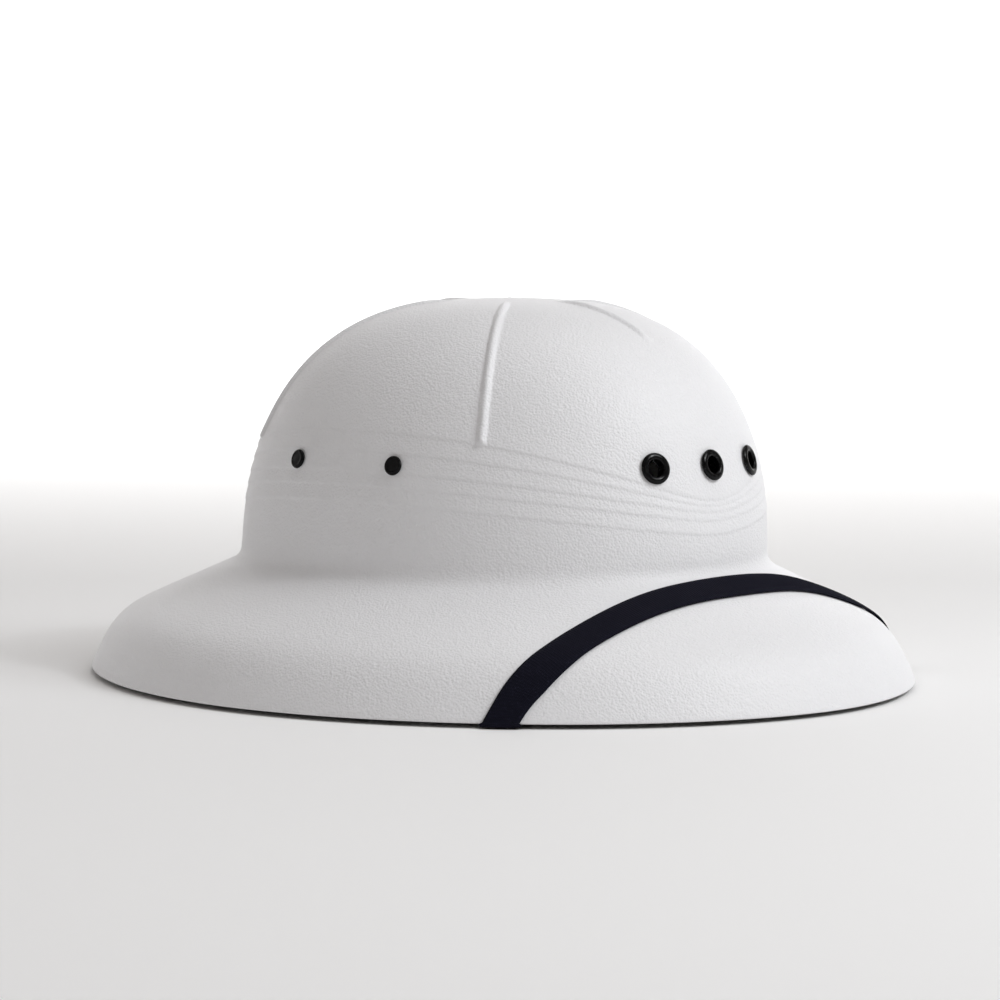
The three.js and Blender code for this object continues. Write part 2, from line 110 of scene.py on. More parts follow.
# The lamps on the hat: each one's turn from the camera and its height in degrees, its distance and
# its width in metres, its power in watts and its colour. The small one gives the enamel its sharp
# highlights.
LAMPS = (
    ("key", 64, 42, 1.7, 0.9, 12.2, (0.96, 0.98, 1.0)),
    ("small lamp", 58, 40, 1.6, 0.12, 2.6, (0.96, 0.98, 1.0)),
    ("top", 150, 75, 1.9, 1.4, 7, (1.0, 1.0, 1.0)),
)

# The lamp over the hat's far side, and the place on the paper beyond it that it is turned to
BACKDROP_LAMP = ("backdrop", 0, 32, 2.4, 1.6, 75, (1.0, 1.0, 1.0))
BACKDROP_BEYOND = 3.6
BACKDROP_HEIGHT = 0.7

# The room's own light
ROOM_COLOUR = (1.0, 0.935, 0.89, 1.0)
ROOM_STRENGTH = 0.26

# The backdrop in metres: the radius of its flat middle, the radius of its bend and its wall's top
SHEET_FLAT = 2.4
SHEET_BEND = 1.2
SHEET_TOP = 1.8
SHEET_SIDES = 96


def linear(hex_value):
    """Turn an sRGB hex colour into linear red, green, blue and alpha."""
    channels = [int(hex_value[k:k + 2], 16) / 255 for k in (0, 2, 4)]
    return tuple(c / 12.92 if c <= 0.04045 else ((c + 0.055) / 1.055) ** 2.4 for c in channels) + (1.0,)


def length(name, description, default):
    """A length property in metres."""
    return bpy.props.FloatProperty(
        name=name, description=description, default=default, min=0, subtype="DISTANCE", unit="LENGTH",
        precision=5)


def turning(name, description, degrees):
    """An angle property, from a value in degrees."""
    return bpy.props.FloatProperty(
        name=name, description=description, default=math.radians(degrees), subtype="ANGLE",
        unit="ROTATION")


def number(name, description, default):
    """A plain number property."""
    return bpy.props.FloatProperty(name=name, description=description, default=default, precision=4)


def colour(name, description, default):
    """A colour property from an sRGB hex value."""
    return bpy.props.FloatVectorProperty(
        name=name, description=description, default=linear(default), size=4, min=0, max=1,
        subtype="COLOR")


class ShellSizes(bpy.types.PropertyGroup):
    """Sizes of the moulded shell."""
    brim_length: length("Brim length", "The brim from front to back", 335 * MM)
    brim_width: length("Brim width", "The brim from side to side", 292 * MM)
    brim_squareness: number("Brim squareness", "2 is an ellipse", 1.93)
    brim_taper: number("Brim taper", "How much the brim narrows to the front", 0.018)
    crown_length: length("Crown length", "The crown's foot from front to back", 206 * MM)
    crown_width: length("Crown width", "The crown's foot from side to side", 176.7 * MM)
    crown_squareness: number("Crown squareness", "2 is an ellipse", 2.18)
    crown_taper: number("Crown taper", "How much the crown narrows to the front", 0.066)
    crown_forward: length("Crown forward", "How far the crown sits ahead of the brim", 3.8 * MM)
    crown_height: length("Crown height", "The crown above its foot", 98 * MM)
    rise_power: number("Rise power", "How the crown's side curves upwards", 2.28)
    spread_power: number("Spread power", "How the crown's top curves outwards", 2.85)
    apex_forward: length("Apex forward", "How far the top leans ahead of the foot", 3.5 * MM)
    brim_drop: length("Brim drop", "The rim below the crown's foot", 43 * MM)
    rim_height: length("Rim height", "The rim above the ground, on the strap", 1.7 * MM)
    wall: length("Wall", "The thickness of the shell", 2 * MM)
    rim_edge: length("Rim edge", "The width of the rim's bottom edge", 2.2 * MM)
    rim_round: length("Rim round", "The round of the rim's two corners", 1.05 * MM)
    skirt_run: length("Skirt run", "The steep edge of the brim seen from above", 6.3 * MM)
    skirt_drop: length("Skirt drop", "The height of the steep edge", 18 * MM)
    crease_softness: length("Crease softness", "The round of the crease above the edge", 3.7 * MM)
    fillet: length("Fillet", "The round between the crown and the brim", 4.5 * MM)
    rib_width: length("Rib width", "The width of a crown rib", 3.6 * MM)
    rib_height: length("Rib height", "The height of a crown rib", 1.25 * MM)
    rib_end: length("Rib end", "The radius at which ribs fade at the top", 24 * MM)
    fold_height: length("Fold height", "How far a pleat stands out at its edge", 0.36 * MM)
    fold_step: length("Fold step", "The height of a pleat's turned edge", 1.3 * MM)
    fold_fade: length("Fold fade", "The height over which the top fold fades", 8 * MM)
    shell_colour: colour("Outside", "The grained outside", "ececee")
    # The inside's colour, a little darker and warmer than the outside's, is painted shade inside the
    # shell
    shaded_inside_colour: colour("Inside", "The smooth inside", "e3e1dc")


class FastenerSizes(bpy.types.PropertyGroup):
    """Sizes of the eyelets and the rivets."""
    eyelet_spread: turning("Eyelet spread", "The turn from one eyelet to the next", 17.8)
    eyelet_height: length("Eyelet height", "The eyelets above the crown's foot", 40 * MM)
    eyelet_diameter: length("Eyelet diameter", "Over the rolled lip", 11.6 * MM)
    eyelet_roll: length("Eyelet roll", "The height of the rolled lip", 1.45 * MM)
    eyelet_back: length("Eyelet back", "The flange inside the shell", 10.4 * MM)
    rivet_front: turning("Front rivet", "The front rivet's turn", 81)
    rivet_rear: turning("Rear rivet", "The rear rivet's turn", 106)
    rivet_height: length("Rivet height", "The rivets above the crown's foot", 40.3 * MM)
    rivet_diameter: length("Rivet diameter", "Over the cap", 7.2 * MM)
    rivet_cap: length("Rivet cap", "The height of the cap", 1.3 * MM)
    rivet_head: length("Rivet head", "The head inside the shell", 7.6 * MM)
    enamel_colour: colour("Enamel", "The black enamel", "060607")


class StrapSizes(bpy.types.PropertyGroup):
    """Sizes of the chin strap."""
    width: length("Width", "The webbing's width", 13 * MM)
    thickness: length("Thickness", "The webbing's thickness", 1.05 * MM)
    lift: length("Lift", "The gap between the webbing and the shell", 0.2 * MM)
    foot_gap: length("Foot gap", "The gap to the crown at the front", 2.2 * MM)
    tail: length("Tail", "The end past the rivet", 8 * MM)
    turn_in: length("Turn in", "The run in which the strap turns square past the rim", 16 * MM)
    rim_turn: turning("Rim turn", "Where the strap passes round the rim", 51.7)
    corner_turn: turning("Corner turn", "Where the strap turns up into the crown", 55.5)
    rib_pitch: length("Rib pitch", "One cross rib of the weave", 1.1 * MM)
    rib_depth: length("Rib depth", "The height of a cross rib", 0.24 * MM)
    webbing_colour: colour("Webbing", "The near-black yarn", "0b0b16")


class StageSizes(bpy.types.PropertyGroup):
    """The camera and the floor."""
    azimuth: turning("Azimuth", "The camera's turn from the front", -47.75)
    elevation: turning("Elevation", "The camera above the hat's middle", 5)
    distance: length("Distance", "From the camera to the hat's middle", 1.551)
    lens: bpy.props.FloatProperty(
        name="Lens", description="The focal length", default=147, min=1, unit="CAMERA")
    target_height: length("Target height", "The height that the camera looks at", 66 * MM)
    floor_colour: colour("Floor", "The plain floor", "f7f7f7")


def add_node(tree, kind, settings=None, links=None, **attributes):
    """Add a node with its attributes, its socket values and its links."""
    node = tree.nodes.new(kind)
    for name, value in attributes.items():
        setattr(node, name, value)
    for socket, value in (settings or {}).items():
        node.inputs[socket].default_value = value
    for socket, source in (links or {}).items():
        tree.links.new(source, node.inputs[socket])
    return node


def new_material(name):
    """An empty node material, with its tree."""
    material = bpy.data.materials.new(name)
    material.use_nodes = True
    material.node_tree.nodes.clear()
    return material, material.node_tree


def finish_material(material, shader):
    """Lead a shader to its material's surface."""
    add_node(material.node_tree, "ShaderNodeOutputMaterial", links={"Surface": shader.outputs["BSDF"]})
    return material


def uneven_material(name, pitch, detail, relief, shine, surface):
    """A material with a noise of one pitch that lifts its surface a little and varies its shine."""
    material, tree = new_material(name)
    place = add_node(tree, "ShaderNodeTexCoord").outputs["Object"]
    noise = add_node(tree, "ShaderNodeTexNoise", {"Scale": 1 / pitch, "Detail": detail},
                     {"Vector": place})
    bump = add_node(tree, "ShaderNodeBump", relief, {"Height": noise.outputs["Fac"]})
    roughness = add_node(tree, "ShaderNodeMapRange", {"To Min": shine[0], "To Max": shine[1]},
                         {"Value": noise.outputs["Fac"]})
    shader = add_node(tree, "ShaderNodeBsdfPrincipled", surface, {
        "Normal": bump.outputs["Normal"], "Roughness": roughness.outputs["Result"]})
    return finish_material(material, shader)


def grained_polyethylene(colour_value):
    """High-density polyethylene, formed over a pebbled mould: matt white with a fine leather grain
    that breaks up the soft highlight."""
    material, tree = new_material("grained polyethylene")
    place = add_node(tree, "ShaderNodeTexCoord").outputs["Object"]
    # Pebbles about 0.85 mm across, in soft patches of about 1.7 mm
    pebbles = add_node(tree, "ShaderNodeTexVoronoi", {"Scale": 1 / (0.85 * MM), "Smoothness": 0.6,
                       "Randomness": 1.0}, {"Vector": place}, feature="SMOOTH_F1")
    patches = add_node(tree, "ShaderNodeTexNoise", {"Scale": 1 / (1.7 * MM), "Detail": 3.0,
                       "Roughness": 0.55}, {"Vector": place})
    grain = add_node(tree, "ShaderNodeMix", {0: 0.5}, {2: pebbles.outputs["Distance"],
                     3: patches.outputs["Fac"]}, data_type="FLOAT")
    bump = add_node(tree, "ShaderNodeBump", {"Strength": 0.6, "Distance": 0.6 * MM},
                    {"Height": grain.outputs[0]})
    shine = add_node(tree, "ShaderNodeMapRange", {"From Min": 0.3, "From Max": 0.7, "To Min": 0.46,
                     "To Max": 0.6}, {"Value": patches.outputs["Fac"]})
    shader = add_node(tree, "ShaderNodeBsdfPrincipled", {"Base Color": colour_value, "IOR": 1.54},
                      {"Normal": bump.outputs["Normal"], "Roughness": shine.outputs["Result"]})
    return finish_material(material, shader)


def smooth_polyethylene(colour_value):
    """High-density polyethylene on the side away from the mould: smooth, faintly uneven, with a duller
    shine, and coloured a little darker and warmer than the outside as painted shade."""
    # Slow unevenness about 25 mm across, from the sheet as it was drawn down
    return uneven_material("smooth polyethylene", 25 * MM, 2.0,
                           {"Strength": 0.3, "Distance": 0.8 * MM}, (0.5, 0.62),
                           {"Base Color": colour_value, "IOR": 1.54})


def black_enamel(colour_value):
    """Enamelled brass, stoved after pressing: deep glossy black with a sharp small highlight."""
    # Orange peel about 0.8 mm across
    return uneven_material("black enamel", 0.8 * MM, 1.0,
                           {"Strength": 0.1, "Distance": 0.04 * MM}, (0.08, 0.15),
                           {"Base Color": colour_value, "IOR": 1.5, "Specular IOR Level": 0.16})


def elastic_webbing(colour_value):
    """Elastic webbing, woven of polyester over rubber cords: near-black, dull, with a faint nap
    and fine yarns between its cross ribs."""
    material, tree = new_material("elastic webbing")
    place = add_node(tree, "ShaderNodeUVMap", uv_map="yarn").outputs["UV"]
    # Lengthwise yarns 0.65 mm apart: a band wave repeats every 0.314 of its scaled length
    yarns = add_node(tree, "ShaderNodeTexWave", {"Scale": 0.314 / (0.65 * MM), "Distortion": 0.6,
                     "Detail": 1.0, "Detail Scale": 2.0}, {"Vector": place}, wave_type="BANDS",
                     bands_direction="X")
    fibres = add_node(tree, "ShaderNodeTexNoise", {"Scale": 1 / (0.35 * MM), "Detail": 2.0},
                      {"Vector": place})
    cloth = add_node(tree, "ShaderNodeMix", {0: 0.4}, {2: yarns.outputs["Fac"],
                     3: fibres.outputs["Fac"]}, data_type="FLOAT")
    bump = add_node(tree, "ShaderNodeBump", {"Strength": 0.5, "Distance": 0.12 * MM},
                    {"Height": cloth.outputs[0]})
    lighter = tuple(min(1.0, 2.0 * channel + 0.003) for channel in colour_value[:3]) + (1.0,)
    tint = add_node(tree, "ShaderNodeMix", {6: colour_value, 7: lighter},
                    {0: cloth.outputs[0]}, data_type="RGBA")
    shader = add_node(tree, "ShaderNodeBsdfPrincipled", {"Roughness": 0.9, "IOR": 1.45,
                      "Specular IOR Level": 0.12, "Sheen Weight": 0.01, "Sheen Roughness": 0.4},
                      {"Base Color": tint.outputs[2], "Normal": bump.outputs["Normal"]})
    return finish_material(material, shader)


def signed_power(value, power):
    return np.sign(value) * np.abs(value) ** power


def smoothstep(value, low, high):
    share = np.clip((value - low) / (high - low), 0, 1)
    return share * share * (3 - 2 * share)


def unit(vectors):
    return vectors / np.linalg.norm(vectors, axis=-1, keepdims=True)


def travelled(points):
    """How far along a line of points each one is."""
    return np.concatenate([[0], np.cumsum(np.linalg.norm(np.diff(points, axis=0), axis=1))])


class ShellForm:
    """The shell's smooth form, for arrays of turns and distances."""

    def __init__(self, sizes):
        self.sizes = sizes
        self.foot_height = sizes.rim_height + sizes.brim_drop

    def oval(self, turn, along, across, squareness, taper, forward):
        angle = np.radians(turn)
        x = across / 2 * signed_power(np.sin(angle), 2 / squareness) * (1 - taper * np.cos(angle))
        y = -forward - along / 2 * signed_power(np.cos(angle), 2 / squareness)
        return np.stack([x, y], -1)

    def rim(self, turn):
        s = self.sizes
        return self.oval(turn, s.brim_length, s.brim_width, s.brim_squareness, s.brim_taper, 0)

    def foot(self, turn):
        s = self.sizes
        return self.oval(turn, s.crown_length, s.crown_width, s.crown_squareness, s.crown_taper,
                         s.crown_forward)

    def run(self, turn):
        return np.linalg.norm(self.rim(turn) - self.foot(turn), axis=-1)

    def fall(self, out, run):
        """How far the brim falls: gently first, then steeply past a soft crease."""
        s = self.sizes
        crease = run - s.skirt_run
        gentle = (s.brim_drop - s.skirt_drop) / crease
        steeper = s.skirt_drop / s.skirt_run - gentle

        def soft(x):
            return steeper * s.crease_softness * np.log1p(np.exp((x - crease) / s.crease_softness))

        def drop(x):
            return gentle * x + soft(x) - soft(0)
        return s.brim_drop * drop(out) / drop(run)

    def brim(self, turn, out):
        """Points of the outer brim at distances out from the crown's foot."""
        s = self.sizes
        foot, rim = self.foot(turn), self.rim(turn)
        run = self.run(turn)
        plan = foot + (rim - foot) * (out / run)[..., None]
        near = np.sqrt(np.clip(out, 0, s.fillet) / s.fillet)
        round_off = -near ** 2 * self.fall(s.fillet, run) + (1 - near) ** 2 * s.fillet
        height = self.foot_height + np.where(out < s.fillet, round_off, -self.fall(out, run))
        return np.concatenate([plan, height[..., None]], -1)

    def spread(self, rise):
        s = self.sizes
        return np.maximum(1 - np.maximum(rise, 0) ** s.rise_power, 0) ** (1 / s.spread_power)

    def rise(self, spread):
        s = self.sizes
        return np.maximum(1 - spread ** s.spread_power, 0) ** (1 / s.rise_power)

    def crown(self, turn, height):
        """Points of the outer crown at heights above its foot."""
        s = self.sizes
        rise = height / s.crown_height
        centre = np.array([0, -s.crown_forward])
        plan = centre + (self.foot(turn) - centre) * self.spread(rise)[..., None]
        level = self.foot_height + height
        return np.stack([plan[..., 0], plan[..., 1] - s.apex_forward * rise, level], -1)

    def normal(self, surface, turn, way, upward):
        """Outward normals of a surface, from its slopes round and up the shell."""
        around = surface(turn + NUDGE_TURN, way) - surface(turn - NUDGE_TURN, way)
        climb = surface(turn, way + upward * NUDGE) - surface(turn, way - upward * NUDGE)
        return unit(np.cross(around, climb))

    def brim_normal(self, turn, out):
        return self.normal(self.brim, turn, out, -1)

    def crown_normal(self, turn, height):
        return self.normal(self.crown, turn, height, 1)

    def off_crown(self, turn, height, distance):
        """Points at a distance outside the crown, or within it if that is negative."""
        return self.crown(turn, height) + distance * self.crown_normal(turn, height)

    def off_brim(self, turn, out, distance):
        return self.brim(turn, out) + distance * self.brim_normal(turn, out)

    def rim_outward(self, turn):
        along = self.rim(turn + NUDGE_TURN) - self.rim(turn - NUDGE_TURN)
        return unit(np.stack([along[..., 1], -along[..., 0], 0 * turn], -1))

    def pleat_height(self, line, turn):
        centre, side, bend = PLEAT_LINES[line]
        aside = np.hypot(np.sin(np.radians(turn)), PLEAT_ROUND) - PLEAT_ROUND
        climb = (1 - aside / (math.hypot(1, PLEAT_ROUND) - PLEAT_ROUND)) ** bend
        return self.sizes.crown_height * (side - (side - centre) * climb)

    def fold_relief(self, turn, height):
        """How far the pleats stand out: each fold is proud at its lower edge and fades upwards."""
        s = self.sizes
        lines = [self.pleat_height(k, turn) for k in range(len(PLEAT_LINES))]
        tops = lines[1:] + [lines[-1] + s.fold_fade]
        relief = np.zeros_like(height)
        for low, top in zip(lines, tops):
            edge = smoothstep(height, low - 0.2 * s.fold_step, low + s.fold_step)
            fade = np.clip((top - height) / (top - low), 0, 1)
            relief = np.maximum(relief, np.where(height <= top, edge * fade, 0))
        side = np.abs((turn + 180) % 360 - 180)
        loss = PLEAT_LOSS * np.exp(-((side - PLEAT_LOSS_TURN) / PLEAT_LOSS_SPREAD) ** 2)
        return relief * s.fold_height * (1 - loss)


class ShellColumns:
    """The turns of the mesh's columns, close together at each rib at every radius."""

    def __init__(self, form):
        self.sizes = form.sizes
        rib, angle, half, start = [], [], [], []
        turns = [entry[0] for entry in RIBS]
        for k, (turn, first) in enumerate(RIBS):
            after = (turns[(k + 1) % len(turns)] - turn) % 360 / 2
            before = (turn - turns[k - 1]) % 360 / 2
            radius = np.linalg.norm(form.foot(turn))
            close = np.degrees(RIB_COLUMNS / radius)
            edge = math.degrees(RIB_BAND / radius)
            wide_after = np.linspace(edge, after, 22)
            wide_before = np.linspace(edge, before, 22)[:-1]
            here = np.concatenate([-wide_before[::-1], -close[:0:-1], close, wide_after])
            rib += [turn] * len(here)
            angle += list(here)
            half += list(np.where(here < 0, before, after))
            start += [first] * len(here)
        self.rib, self.angle, self.half = np.array(rib, float), np.array(angle), np.array(half)
        self.start = np.array(start, float)
        self.radius = np.linalg.norm(form.foot(self.rib), axis=-1)
        self.offset = np.radians(self.angle) * self.radius

    def turn(self, spread=1.0):
        """The turns where the crown has drawn in to a share of its foot."""
        radius = np.maximum(self.radius * spread, self.sizes.rib_end)
        edge = np.degrees(RIB_BAND / self.radius)
        band = np.degrees(RIB_BAND / radius)
        size = np.abs(self.angle)
        close = size * self.radius / radius
        wide = band + (size - edge) * (self.half - band) / (self.half - edge)
        return self.rib + np.sign(self.angle) * np.where(size <= edge, close, wide)

    def rib_relief(self, spread, share, above):
        """The ribs' relief: a round bar that rises softly where it starts, just above the top pleat
        line or at a share of the radius, and fades near the top."""
        s = self.sizes
        bar = np.clip(1 - (self.offset / (0.55 * s.rib_width)) ** 2, 0, 1) ** 1.4
        start = np.where(self.start >= 1, smoothstep(above, 0.2 * MM, 1.8 * MM),
                         smoothstep(self.start - share, 0.0, 0.06))
        radius = self.radius * spread
        return s.rib_height * bar * start * smoothstep(radius, 0.8 * s.rib_end, 1.4 * s.rib_end)


def rounded_corner(corner, first, second, size):
    """Rows of points of a soft corner, from one direction to the other."""
    return [corner + first * size * (1 - share) ** 2 + second * size * share ** 2
            for share in np.linspace(0, 1, 5)]


def shell_rows(form):
    """The shell's closed skin as rows of points: the inside from the top down to the rim, and the
    outside from the rim up."""
    s = form.sizes
    columns = ShellColumns(form)
    turn = columns.turn()
    # The inside of the crown, closer together towards the top, then the inside of the brim
    inside = []
    heights = s.crown_height * np.sin(np.linspace(0.997, 0, 27)[:-1] ** 0.85 * math.pi / 2)
    for height in heights[heights > 1.4 * s.fillet]:
        level = columns.turn(form.spread(height / s.crown_height))
        inside.append(form.off_crown(level, np.full_like(turn, height), -s.wall))
    for height in np.array([1.2, 1.0]) * s.fillet:
        inside.append(form.off_crown(turn, np.full_like(turn, height), -s.wall))
    run = form.run(turn)
    first = 0.04 * s.fillet
    near_skirt = run - 2.6 * s.skirt_run
    shares = [first + (s.fillet - first) * share for share in np.linspace(0, 1, 6) ** 1.6]
    outs = [np.full_like(turn, out) for out in shares]
    outs += [s.fillet + (near_skirt - s.fillet) * share for share in np.linspace(0, 1, 8)[1:]]
    outs += [run - skirts * s.skirt_run for skirts in np.linspace(2.6, 0.14, 16)[1:]]
    inside += [form.off_brim(turn, out, -s.wall) for out in outs]

    # Round the rim's two corners and up the outside of the brim
    rim = np.concatenate([form.rim(turn), np.full_like(turn, s.rim_height)[:, None]], -1)
    inward = -form.rim_outward(turn)
    inner_corner = rim + inward * s.rim_edge
    upward = unit(inside[-1] - inner_corner)
    inside += rounded_corner(inner_corner, upward, -inward, s.rim_round)
    skirt = unit(form.brim(turn, run - 1.5 * MM) - rim)
    outside = rounded_corner(rim, inward, skirt, s.rim_round)
    outs = [run - skirts * s.skirt_run for skirts in np.linspace(0.16, 2.6, 26)]
    outs += [s.fillet + (near_skirt - s.fillet) * share for share in np.linspace(1, 0, 16)[1:]]
    outs += [np.full_like(turn, s.fillet * share ** 1.8) for share in np.linspace(1, 0, 10)[1:]]
    outside += [form.brim(turn, out) for out in outs]

    # Up the crown with rows close together at each pleat's edge, then on to the top
    lines = [form.pleat_height(k, turn) for k in range(len(PLEAT_LINES))]
    steps = np.array([-0.3, 0, 0.2, 0.45, 0.75, 1.1, 1.5]) * s.fold_step
    heights = [s.fillet + (lines[0] - s.fillet) * share for share in np.linspace(0, 0.94, 9)[1:]]
    for k, line in enumerate(lines):
        heights += [line + step for step in steps]
        if k + 1 < len(lines):
            low, high = line + steps[-1], lines[k + 1] + steps[0]
            heights += [low + (high - low) * share for share in (0.25, 0.5, 0.75)]
    for height in heights:
        spread = form.spread(height / s.crown_height)
        level = columns.turn(spread)
        relief = form.fold_relief(level, height)
        relief += columns.rib_relief(spread, 1.0, height - lines[-1])
        outside.append(form.off_crown(level, height, relief[:, None]))
    base_spread = form.spread((lines[-1] + steps[-1]) / s.crown_height)
    for step in (np.arange(1, 59) / 60) ** 0.75:
        share = math.cos(math.pi / 2 * step)
        spread = base_spread * share
        height = s.crown_height * form.rise(spread)
        level = columns.turn(spread)
        relief = form.fold_relief(level, height)
        relief += columns.rib_relief(spread, share, height - lines[-1])
        outside.append(form.off_crown(level, height, relief[:, None]))
    return inside, outside


def smooth_mesh(name, points, faces):
    """A mesh that is shaded smooth."""
    mesh = bpy.data.meshes.new(name)
    mesh.from_pydata(points.tolist(), [], faces)
    mesh.polygons.foreach_set("use_smooth", np.ones(len(faces), bool))
    return mesh


def rows_mesh(name, rows, poles=()):
    """A closed mesh through rows of points: with a pole at each end, or else back from the last row
    to the first."""
    count = len(rows[0])
    points = np.concatenate(rows)
    k = np.arange(count)
    after = (k + 1) % count
    faces = []
    for row in range(len(rows) - 1 if poles else len(rows)):
        low, high = row * count, (row + 1) % len(rows) * count
        faces += np.stack([low + k, low + after, high + after, high + k], -1).tolist()
    if poles:
        first, end, last = len(points), len(points) + 1, (len(rows) - 1) * count
        points = np.concatenate([points, poles])
        faces += np.stack([np.full(count, first), after, k], -1).tolist()
        faces += np.stack([np.full(count, end), last + k, last + after], -1).tolist()
    return smooth_mesh(name, points, faces)


def add_object(name, mesh, materials=()):
    piece = bpy.data.objects.new(name, mesh)
    bpy.context.scene.collection.objects.link(piece)
    for material in materials:
        mesh.materials.append(material)
    return piece


def settle(piece):
    """Turn a piece with modifiers into a plain mesh."""
    bpy.context.view_layer.update()
    evaluated = piece.evaluated_get(bpy.context.evaluated_depsgraph_get())
    mesh = bpy.data.meshes.new_from_object(evaluated)
    mesh.name = piece.name
    piece.modifiers.clear()
    piece.data = mesh
    return piece


def fastener_places(form, turns, height):
    """Points on the outer crown and their outward directions."""
    turns = np.asarray(turns, float)
    heights = np.full_like(turns, height)
    return form.crown(turns, heights), form.crown_normal(turns, heights)


def eyelet_turns(sizes):
    spread = math.degrees(sizes.eyelet_spread)
    return [-spread, 0.0, spread]


def rivet_turns(sizes):
    return [side * math.degrees(turn) for side in (-1, 1) for turn in (sizes.rivet_front,
            sizes.rivet_rear)]


def turned_rows(section, sides):
    """Rings of points round +Z, one for each radius and height of a half section."""
    ring = np.linspace(0, 2 * math.pi, sides, endpoint=False)
    return [np.stack([radius * np.cos(ring), radius * np.sin(ring), np.full_like(ring, height)], -1)
            for radius, height in section]


def lathe_mesh(name, section, sides=64):
    """A turned mesh round +Z, from a half section that runs from the axis to the axis, or else back
    to its own start."""
    if section[0] == section[-1]:
        return rows_mesh(name, turned_rows(section[:-1], sides))
    poles = [(0, 0, height) for _, height in (section[0], section[-1])]
    return rows_mesh(name, turned_rows(section[1:-1], sides), poles)


def set_fasteners_tree():
    """A Geometry Nodes tree that sets one fastener at each point, along its outward direction."""
    tree = bpy.data.node_groups.new("Set fasteners", "GeometryNodeTree")
    for name, kind in (("Places", "NodeSocketGeometry"), ("Fastener", "NodeSocketObject"),
                       ("Material", "NodeSocketMaterial")):
        tree.interface.new_socket(name, in_out="INPUT", socket_type=kind)
    tree.interface.new_socket("Fasteners", in_out="OUTPUT", socket_type="NodeSocketGeometry")
    inputs = add_node(tree, "NodeGroupInput").outputs
    outward = add_node(tree, "GeometryNodeInputNamedAttribute", {"Name": "outward"},
                       data_type="FLOAT_VECTOR")
    facing = add_node(tree, "FunctionNodeAlignRotationToVector",
                      links={"Vector": outward.outputs["Attribute"]}, axis="Z")
    fastener = add_node(tree, "GeometryNodeObjectInfo", links={"Object": inputs["Fastener"]})
    placed = add_node(tree, "GeometryNodeInstanceOnPoints", links={
        "Points": inputs["Places"], "Instance": fastener.outputs["Geometry"],
        "Rotation": facing.outputs["Rotation"]})
    real = add_node(tree, "GeometryNodeRealizeInstances",
                    links={"Geometry": placed.outputs["Instances"]})
    finished = add_node(tree, "GeometryNodeSetMaterial", links={
        "Geometry": real.outputs["Geometry"], "Material": inputs["Material"]})
    add_node(tree, "NodeGroupOutput", links={"Fasteners": finished.outputs["Geometry"]})
    return tree


def set_fasteners(name, form, turns, height, section, material):
    """Turn one fastener and set it at each place as one piece."""
    points, outward = fastener_places(form, turns, height)
    places = bpy.data.meshes.new(name)
    places.from_pydata(points.tolist(), [], [])
    attribute = places.attributes.new("outward", "FLOAT_VECTOR", "POINT")
    attribute.data.foreach_set("vector", outward.ravel())
    pattern = add_object(name + "_pattern", lathe_mesh(name + "_pattern", section))
    piece = add_object(name, places)
    modifier = piece.modifiers.new("Set fasteners", "NODES")
    modifier.node_group = set_fasteners_tree()
    sockets = {item.name: item.identifier for item in modifier.node_group.interface.items_tree
               if item.in_out == "INPUT"}
    modifier[sockets["Fastener"]] = pattern
    modifier[sockets["Material"]] = material
    settle(piece)
    bpy.data.objects.remove(pattern)
    return piece


def cut_holes(piece, form, fasteners):
    """Bore the shell for the eyelets and the rivets."""
    holes = ((eyelet_turns(fasteners), fasteners.eyelet_height, EYELET_BORE),
             (rivet_turns(fasteners), fasteners.rivet_height, RIVET_BORE))
    depth = 6 * MM
    cutters = []
    for turns, height, radius in holes:
        section = [(0, -depth), (radius, -depth), (radius, depth), (0, depth)]
        points, outward = fastener_places(form, turns, height)
        for point, direction in zip(points, outward):
            cutter = add_object("bore", lathe_mesh("bore", section, 48))
            turn = Vector((0, 0, 1)).rotation_difference(Vector(direction))
            cutter.data.transform(turn.to_matrix().to_4x4())
            cutter.data.transform(Matrix.Translation(Vector(point)))
            cutters.append(cutter)
    collection = bpy.data.collections.new("bores")
    for cutter in cutters:
        collection.objects.link(cutter)
    modifier = piece.modifiers.new("Bores", "BOOLEAN")
    modifier.operation = "DIFFERENCE"
    modifier.solver = "EXACT"
    modifier.operand_type = "COLLECTION"
    modifier.collection = collection
    settle(piece)
    for cutter in cutters:
        bpy.data.objects.remove(cutter)
    bpy.data.collections.remove(collection)


class PITH_OT_shell(bpy.types.Operator):
    """Make the moulded shell with its ribs and pleats"""
    bl_idname = "mesh.pith_helmet_shell"
    bl_label = "Helmet Shell"

    def execute(self, context):
        sizes = context.scene.pith_shell
        form = ShellForm(sizes)
        inside, outside = shell_rows(form)
        apex = form.crown(0, sizes.crown_height)
        under = apex - np.array([0, 0, sizes.wall])
        mesh = rows_mesh("shell_skin", inside + outside, (under, apex))
        shell = add_object("shell_skin", mesh, (grained_polyethylene(sizes.shell_colour[:]),
                                                smooth_polyethylene(sizes.shaded_inside_colour[:])))
        # The inside's rows and the fan at its top take the smooth plastic, whose colour holds painted
        # shade
        count = len(inside[0])
        slots = np.zeros(len(mesh.polygons), int)
        slots[:(len(inside) - 1) * count] = 1
        fan = (len(inside) + len(outside) - 1) * count
        slots[fan:fan + count] = 1
        mesh.polygons.foreach_set("material_index", slots)
        cut_holes(shell, form, context.scene.pith_fasteners)
        shell.data.set_sharp_from_angle(angle=math.radians(50))
        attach(shell, "root")
        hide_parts("helmet_shell")
        return {"FINISHED"}


